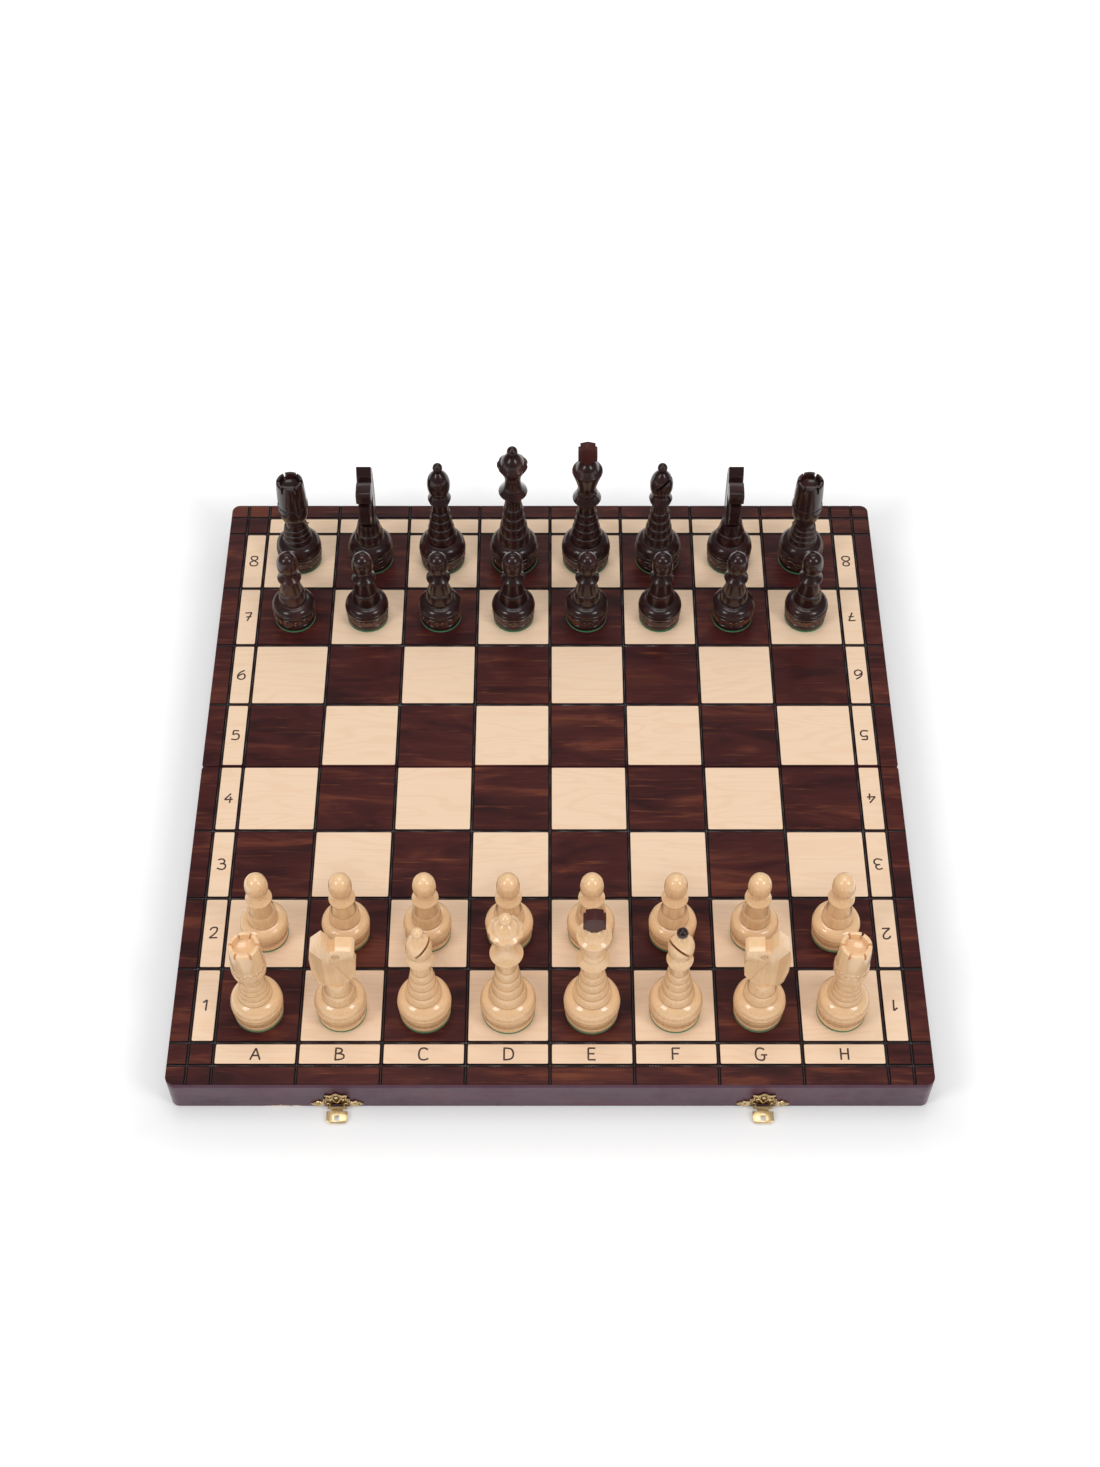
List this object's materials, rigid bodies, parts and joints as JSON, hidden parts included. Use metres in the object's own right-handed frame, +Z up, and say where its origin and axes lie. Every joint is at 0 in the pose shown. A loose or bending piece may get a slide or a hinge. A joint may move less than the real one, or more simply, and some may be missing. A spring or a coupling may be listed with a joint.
{
  "type": "folding chess set",
  "caption": "Wooden board case that folds on two hinges and shuts with two clasps, laid open with both sides of turned chessmen standing on its ruled and lettered squares.",
  "frame": {"origin": "on the fold line between the two halves, midway along it, in the plane of the rims that rest on the table", "axes": "+Z up, +X along the fold towards the h file, +Y away from the white player, towards the dark men"},
  "size_m": [0.5, 0.5177, 0.1593],
  "materials": {
    "board_surface": "stained and natural birch plywood, lacquered, with burnt grooves",
    "case_wood": "dark reddish brown stain under satin lacquer",
    "light_men": "natural light wood, lacquered",
    "dark_men": "near-black brown stain, lacquered",
    "green_felt": "short felt",
    "brass": "brass plated sheet"
  },
  "bodies": {
    "front_half": {"front_top_panel": "board_surface", "front_outer_wall": "case_wood", "front_fold_wall": "case_wood", "front_left_wall": "case_wood", "front_right_wall": "case_wood", "front_felt_lining": "green_felt", "front_divider": "case_wood", "front_hinge_leaves": "brass", "front_hinge_screws": "brass", "hinge_pins": "brass", "clasp_plates": "brass", "clasp_pins": "brass", "clasp_screws": "brass"},
    "back_half": {"back_top_panel": "board_surface", "back_outer_wall": "case_wood", "back_fold_wall": "case_wood", "back_left_wall": "case_wood", "back_right_wall": "case_wood", "back_felt_lining": "green_felt", "back_divider": "case_wood", "back_hinge_leaves": "brass", "back_hinge_screws": "brass", "catch_plates": "brass", "catch_screws": "brass"},
    "clasp_flap_left": {"clasp_flap_left": "brass"},
    "clasp_flap_right": {"clasp_flap_right": "brass"},
    "white_rook_a1": {"white_rook_a1": "light_men"},
    "white_knight_b1": {"white_knight_b1": "light_men"},
    "white_bishop_c1": {"white_bishop_c1": "light_men"},
    "white_queen_d1": {"white_queen_d1": "light_men"},
    "white_king_e1": {"white_king_e1": "light_men", "white_king_cross": "dark_men"},
    "white_bishop_f1": {"white_bishop_f1": "light_men", "white_bishop_ball": "dark_men"},
    "white_knight_g1": {"white_knight_g1": "light_men"},
    "white_rook_h1": {"white_rook_h1": "light_men"},
    "white_pawn_a2": {"white_pawn_a2": "light_men"},
    "white_pawn_b2": {"white_pawn_b2": "light_men"},
    "white_pawn_c2": {"white_pawn_c2": "light_men"},
    "white_pawn_d2": {"white_pawn_d2": "light_men"},
    "white_pawn_e2": {"white_pawn_e2": "light_men"},
    "white_pawn_f2": {"white_pawn_f2": "light_men"},
    "white_pawn_g2": {"white_pawn_g2": "light_men"},
    "white_pawn_h2": {"white_pawn_h2": "light_men"},
    "black_rook_a8": {"black_rook_a8": "dark_men"},
    "black_knight_b8": {"black_knight_b8": "dark_men"},
    "black_bishop_c8": {"black_bishop_c8": "dark_men"},
    "black_queen_d8": {"black_queen_d8": "dark_men"},
    "black_king_e8": {"black_king_e8": "dark_men"},
    "black_bishop_f8": {"black_bishop_f8": "dark_men"},
    "black_knight_g8": {"black_knight_g8": "dark_men"},
    "black_rook_h8": {"black_rook_h8": "dark_men"},
    "black_pawn_a7": {"black_pawn_a7": "dark_men"},
    "black_pawn_b7": {"black_pawn_b7": "dark_men"},
    "black_pawn_c7": {"black_pawn_c7": "dark_men"},
    "black_pawn_d7": {"black_pawn_d7": "dark_men"},
    "black_pawn_e7": {"black_pawn_e7": "dark_men"},
    "black_pawn_f7": {"black_pawn_f7": "dark_men"},
    "black_pawn_g7": {"black_pawn_g7": "dark_men"},
    "black_pawn_h7": {"black_pawn_h7": "dark_men"}
  },
  "joints": [
    {"name": "fold", "type": "hinge", "parent": "front_half", "child": "back_half", "pos_m": [0, 0, 0], "axis": [-1, 0, 0], "range_deg": [0, 180]},
    {"name": "clasp_flap_left_swing", "type": "hinge", "parent": "front_half", "child": "clasp_flap_left", "pos_m": [-0.14, -0.25215, 0.0022], "axis": [1, 0, 0], "range_deg": [-80, 82]},
    {"name": "clasp_flap_right_swing", "type": "hinge", "parent": "front_half", "child": "clasp_flap_right", "pos_m": [0.14, -0.25215, 0.0022], "axis": [1, 0, 0], "range_deg": [-80, 82]},
    {"name": "white_rook_a1_lift", "type": "slide", "parent": "front_half", "child": "white_rook_a1", "axis": [0, 0, 1], "range_m": [0, 0.14]},
    {"name": "white_knight_b1_lift", "type": "slide", "parent": "front_half", "child": "white_knight_b1", "axis": [0, 0, 1], "range_m": [0, 0.14]},
    {"name": "white_bishop_c1_lift", "type": "slide", "parent": "front_half", "child": "white_bishop_c1", "axis": [0, 0, 1], "range_m": [0, 0.14]},
    {"name": "white_queen_d1_lift", "type": "slide", "parent": "front_half", "child": "white_queen_d1", "axis": [0, 0, 1], "range_m": [0, 0.14]},
    {"name": "white_king_e1_lift", "type": "slide", "parent": "front_half", "child": "white_king_e1", "axis": [0, 0, 1], "range_m": [0, 0.14]},
    {"name": "white_bishop_f1_lift", "type": "slide", "parent": "front_half", "child": "white_bishop_f1", "axis": [0, 0, 1], "range_m": [0, 0.14]},
    {"name": "white_knight_g1_lift", "type": "slide", "parent": "front_half", "child": "white_knight_g1", "axis": [0, 0, 1], "range_m": [0, 0.14]},
    {"name": "white_rook_h1_lift", "type": "slide", "parent": "front_half", "child": "white_rook_h1", "axis": [0, 0, 1], "range_m": [0, 0.14]},
    {"name": "white_pawn_a2_lift", "type": "slide", "parent": "front_half", "child": "white_pawn_a2", "axis": [0, 0, 1], "range_m": [0, 0.14]},
    {"name": "white_pawn_b2_lift", "type": "slide", "parent": "front_half", "child": "white_pawn_b2", "axis": [0, 0, 1], "range_m": [0, 0.14]},
    {"name": "white_pawn_c2_lift", "type": "slide", "parent": "front_half", "child": "white_pawn_c2", "axis": [0, 0, 1], "range_m": [0, 0.14]},
    {"name": "white_pawn_d2_lift", "type": "slide", "parent": "front_half", "child": "white_pawn_d2", "axis": [0, 0, 1], "range_m": [0, 0.14]},
    {"name": "white_pawn_e2_lift", "type": "slide", "parent": "front_half", "child": "white_pawn_e2", "axis": [0, 0, 1], "range_m": [0, 0.14]},
    {"name": "white_pawn_f2_lift", "type": "slide", "parent": "front_half", "child": "white_pawn_f2", "axis": [0, 0, 1], "range_m": [0, 0.14]},
    {"name": "white_pawn_g2_lift", "type": "slide", "parent": "front_half", "child": "white_pawn_g2", "axis": [0, 0, 1], "range_m": [0, 0.14]},
    {"name": "white_pawn_h2_lift", "type": "slide", "parent": "front_half", "child": "white_pawn_h2", "axis": [0, 0, 1], "range_m": [0, 0.14]},
    {"name": "black_rook_a8_lift", "type": "slide", "parent": "back_half", "child": "black_rook_a8", "axis": [0, 0, 1], "range_m": [0, 0.14]},
    {"name": "black_knight_b8_lift", "type": "slide", "parent": "back_half", "child": "black_knight_b8", "axis": [0, 0, 1], "range_m": [0, 0.14]},
    {"name": "black_bishop_c8_lift", "type": "slide", "parent": "back_half", "child": "black_bishop_c8", "axis": [0, 0, 1], "range_m": [0, 0.14]},
    {"name": "black_queen_d8_lift", "type": "slide", "parent": "back_half", "child": "black_queen_d8", "axis": [0, 0, 1], "range_m": [0, 0.14]},
    {"name": "black_king_e8_lift", "type": "slide", "parent": "back_half", "child": "black_king_e8", "axis": [0, 0, 1], "range_m": [0, 0.14]},
    {"name": "black_bishop_f8_lift", "type": "slide", "parent": "back_half", "child": "black_bishop_f8", "axis": [0, 0, 1], "range_m": [0, 0.14]},
    {"name": "black_knight_g8_lift", "type": "slide", "parent": "back_half", "child": "black_knight_g8", "axis": [0, 0, 1], "range_m": [0, 0.14]},
    {"name": "black_rook_h8_lift", "type": "slide", "parent": "back_half", "child": "black_rook_h8", "axis": [0, 0, 1], "range_m": [0, 0.14]},
    {"name": "black_pawn_a7_lift", "type": "slide", "parent": "back_half", "child": "black_pawn_a7", "axis": [0, 0, 1], "range_m": [0, 0.14]},
    {"name": "black_pawn_b7_lift", "type": "slide", "parent": "back_half", "child": "black_pawn_b7", "axis": [0, 0, 1], "range_m": [0, 0.14]},
    {"name": "black_pawn_c7_lift", "type": "slide", "parent": "back_half", "child": "black_pawn_c7", "axis": [0, 0, 1], "range_m": [0, 0.14]},
    {"name": "black_pawn_d7_lift", "type": "slide", "parent": "back_half", "child": "black_pawn_d7", "axis": [0, 0, 1], "range_m": [0, 0.14]},
    {"name": "black_pawn_e7_lift", "type": "slide", "parent": "back_half", "child": "black_pawn_e7", "axis": [0, 0, 1], "range_m": [0, 0.14]},
    {"name": "black_pawn_f7_lift", "type": "slide", "parent": "back_half", "child": "black_pawn_f7", "axis": [0, 0, 1], "range_m": [0, 0.14]},
    {"name": "black_pawn_g7_lift", "type": "slide", "parent": "back_half", "child": "black_pawn_g7", "axis": [0, 0, 1], "range_m": [0, 0.14]},
    {"name": "black_pawn_h7_lift", "type": "slide", "parent": "back_half", "child": "black_pawn_h7", "axis": [0, 0, 1], "range_m": [0, 0.14]}
  ]
}
